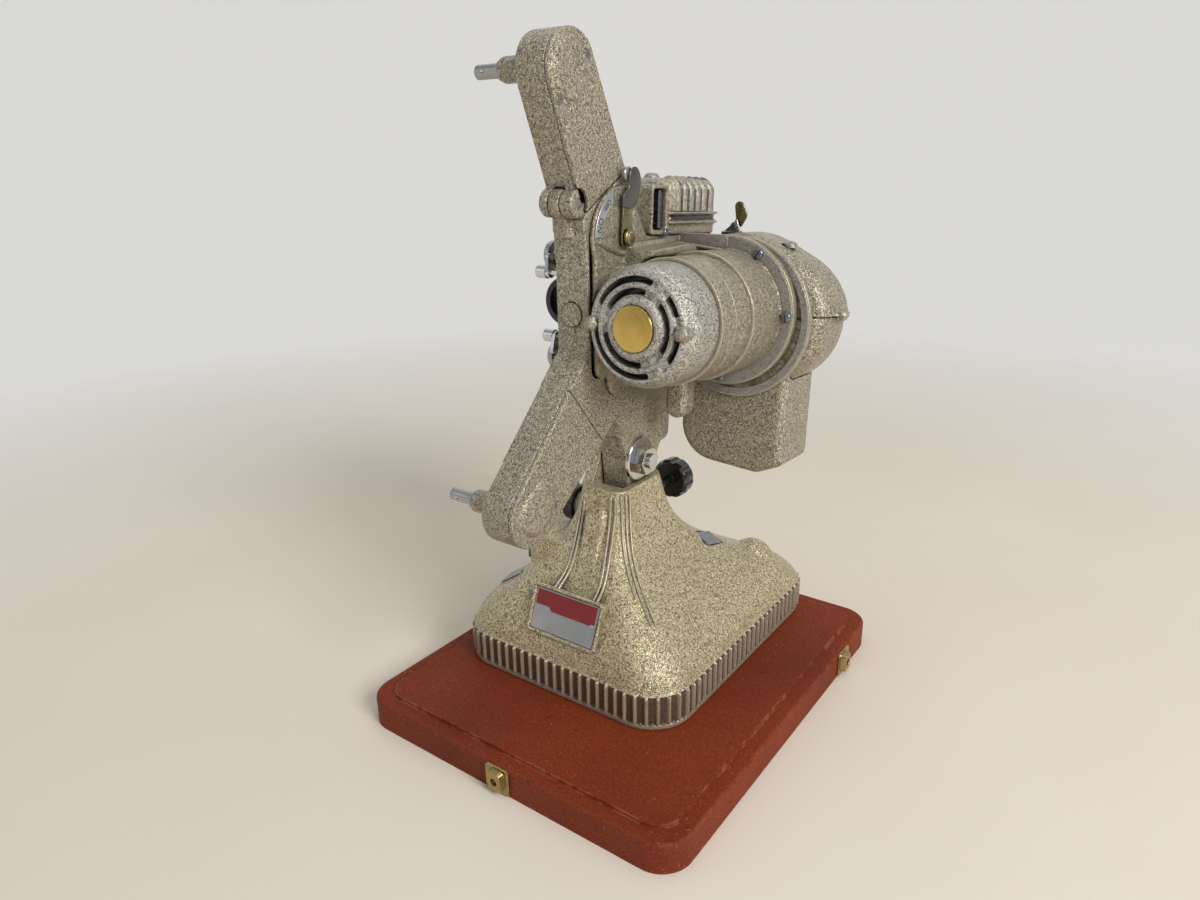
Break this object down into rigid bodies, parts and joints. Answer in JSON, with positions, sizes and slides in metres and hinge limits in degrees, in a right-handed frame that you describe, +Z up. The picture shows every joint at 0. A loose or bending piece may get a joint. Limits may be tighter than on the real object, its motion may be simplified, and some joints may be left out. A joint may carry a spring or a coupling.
{
  "type": "movie projector",
  "caption": "Small-gauge film projector with folding upper reel arm, fluted cast stand, side motor and blower, on a leatherette case base.",
  "frame": {"origin": "centre of the base board's underside", "axes": "-Y towards the screen (lens side), +X towards the motor side, -X the film side, +Z up"},
  "size_m": [0.2488, 0.2988, 0.4175],
  "materials": {
    "leatherette": "worn red-brown leatherette, fine grain, rubbed edges",
    "brass": "polished, slightly tarnished",
    "screw_steel": "slotted screw heads, dulled",
    "enamel": "champagne hammertone enamel",
    "base_sheet": "dark sheet, satin",
    "plate": "satin, bare",
    "chrome": "bright plating",
    "steel": "machined, slightly worn",
    "black_plastic": "glossy black",
    "black_metal": "satin black",
    "glass": "clear, coated",
    "inner_metal": "plain, heat dulled"
  },
  "bodies": {
    "stand": {"case_base_board": "leatherette", "case_catches": "brass", "board_screws": "screw_steel", "base_casting": "enamel", "base_plate": "base_sheet", "nameplate": "plate", "nameplate_rivets": "chrome", "control_plates": "chrome", "pivot_bolt": "steel", "pivot_washer": "chrome", "pivot_nut": "chrome"},
    "upper_arm": {"upper_arm": "enamel", "upper_arm_cover": "enamel", "upper_cover_screws": "screw_steel"},
    "upper_spindle": {"upper_spindle": "chrome"},
    "lower_spindle": {"lower_spindle": "chrome"},
    "motor_rotor": {"motor_rotor": "steel"},
    "shutter": {"shutter_disc": "steel"},
    "upper_sprocket": {"upper_sprocket": "steel"},
    "lower_sprocket": {"lower_sprocket": "steel"},
    "lens": {"lens": "black_metal", "lens_glass": "glass"},
    "upper_keeper": {"upper_keeper": "chrome"},
    "lower_keeper": {"lower_keeper": "chrome"},
    "run_lever": {"run_lever": "steel"},
    "lift_lever": {"lift_lever": "chrome"},
    "speed_dial": {"speed_dial": "black_plastic"},
    "motor_switch": {"motor_switch": "chrome"},
    "lamp_switch": {"lamp_switch": "chrome"},
    "lamp_cap": {"lamp_cap": "enamel"},
    "tilt_pad": {"tilt_pad": "steel"},
    "tilt_knob": {"tilt_knob": "black_plastic"},
    "head": {"cap_badge": "brass", "cap_nuts": "chrome", "column_plug": "enamel", "condenser": "inner_metal", "film_gate": "steel", "flange_screws": "screw_steel", "gear_cover": "enamel", "head_casting": "enamel", "hinge_pin": "screw_steel", "lamp_duct": "enamel", "lamp_house": "enamel", "lamp_socket": "inner_metal", "lens_holder": "black_metal", "lift_bracket": "steel", "lower_arm_cover": "enamel", "lower_cover_screws": "screw_steel", "motor_barrel": "enamel", "motor_bearings": "steel", "motor_end_cap": "enamel", "motor_stator": "steel", "projection_lamp": "glass", "scale_plate": "plate", "scroll_lower": "enamel", "scroll_plate": "enamel", "scroll_studs": "chrome", "scroll_upper": "enamel", "shutter_box": "enamel"}
  },
  "joints": [
    {"name": "head_tilt", "type": "hinge", "parent": "stand", "child": "head", "pos_m": [-0.012, 0.004, 0.165], "axis": [-1, 0, 0], "range_deg": [-6, 8]},
    {"name": "tilt_pad_slide", "type": "slide", "parent": "stand", "child": "tilt_pad", "axis": [0, -1, 0], "range_m": [-0.0045, 0.006]},
    {"name": "tilt_knob_spin", "type": "hinge", "parent": "tilt_pad", "child": "tilt_knob", "pos_m": [-0.01035, 0.06, 0.129], "axis": [0, -1, 0], "range_deg": [-1100, 1450]},
    {"name": "upper_arm_fold", "type": "hinge", "parent": "head", "child": "upper_arm", "pos_m": [-0.012, -0.053, 0.33], "axis": [1, 0, 0], "range_deg": [0, 150]},
    {"name": "upper_spindle_spin", "type": "hinge", "parent": "upper_arm", "child": "upper_spindle", "pos_m": [-0.04, -0.0586, 0.399], "axis": [-1, 0, 0], "continuous": true},
    {"name": "lower_spindle_spin", "type": "hinge", "parent": "head", "child": "lower_spindle", "pos_m": [-0.04, -0.102, 0.1615], "axis": [-1, 0, 0], "continuous": true},
    {"name": "motor_spin", "type": "hinge", "parent": "head", "child": "motor_rotor", "pos_m": [0.038, 0.00001, 0.2623], "axis": [0, -0.9982, 0.0593], "continuous": true},
    {"name": "shutter_spin", "type": "hinge", "parent": "head", "child": "shutter", "pos_m": [-0.046, 0.01726, 0.24925], "axis": [0, -0.9982, 0.0593], "continuous": true},
    {"name": "upper_sprocket_spin", "type": "hinge", "parent": "head", "child": "upper_sprocket", "pos_m": [-0.04, -0.02, 0.297], "axis": [-1, 0, 0], "continuous": true},
    {"name": "lower_sprocket_spin", "type": "hinge", "parent": "head", "child": "lower_sprocket", "pos_m": [-0.04, -0.02, 0.234], "axis": [-1, 0, 0], "continuous": true},
    {"name": "lens_focus", "type": "slide", "parent": "head", "child": "lens", "axis": [0, -0.9982, 0.0593], "range_m": [0, 0.006]},
    {"name": "upper_keeper_open", "type": "hinge", "parent": "head", "child": "upper_keeper", "pos_m": [-0.048, -0.0286, 0.2875], "axis": [1, 0, 0], "range_deg": [0, 35]},
    {"name": "lower_keeper_open", "type": "hinge", "parent": "head", "child": "lower_keeper", "pos_m": [-0.048, -0.024, 0.247], "axis": [-1, 0, 0], "range_deg": [0, 35]},
    {"name": "run_lever_turn", "type": "hinge", "parent": "head", "child": "run_lever", "pos_m": [0.006, -0.016, 0.309], "axis": [1, 0, 0], "range_deg": [0, 85]},
    {"name": "lift_lever_turn", "type": "hinge", "parent": "head", "child": "lift_lever", "pos_m": [0.027, 0.08, 0.3085], "axis": [0, 1, 0], "range_deg": [-25, 25]},
    {"name": "speed_dial_turn", "type": "hinge", "parent": "stand", "child": "speed_dial", "pos_m": [-0.046, -0.004, 0.126], "axis": [-1, 0, 0], "range_deg": [-140, 140]},
    {"name": "motor_switch_flip", "type": "hinge", "parent": "stand", "child": "motor_switch", "pos_m": [-0.068, -0.023, 0.098], "axis": [0, 1, 0], "range_deg": [-12, 12]},
    {"name": "lamp_switch_flip", "type": "hinge", "parent": "stand", "child": "lamp_switch", "pos_m": [-0.068, 0.007, 0.098], "axis": [0, 1, 0], "range_deg": [-12, 12]},
    {"name": "lamp_cap_lift", "type": "slide", "parent": "head", "child": "lamp_cap", "axis": [0, 0.0593, 0.9982], "range_m": [0, 0.05]}
  ],
  "couplings": [
    {"joint": "tilt_pad_slide", "follows": "head_tilt", "m_per_rad": 0.036},
    {"joint": "tilt_knob_spin", "follows": "head_tilt", "ratio": 178.11},
    {"joint": "shutter_spin", "follows": "motor_spin", "ratio": 0.25},
    {"joint": "upper_sprocket_spin", "follows": "motor_spin", "ratio": 0.020833},
    {"joint": "lower_sprocket_spin", "follows": "motor_spin", "ratio": 0.020833}
  ]
}
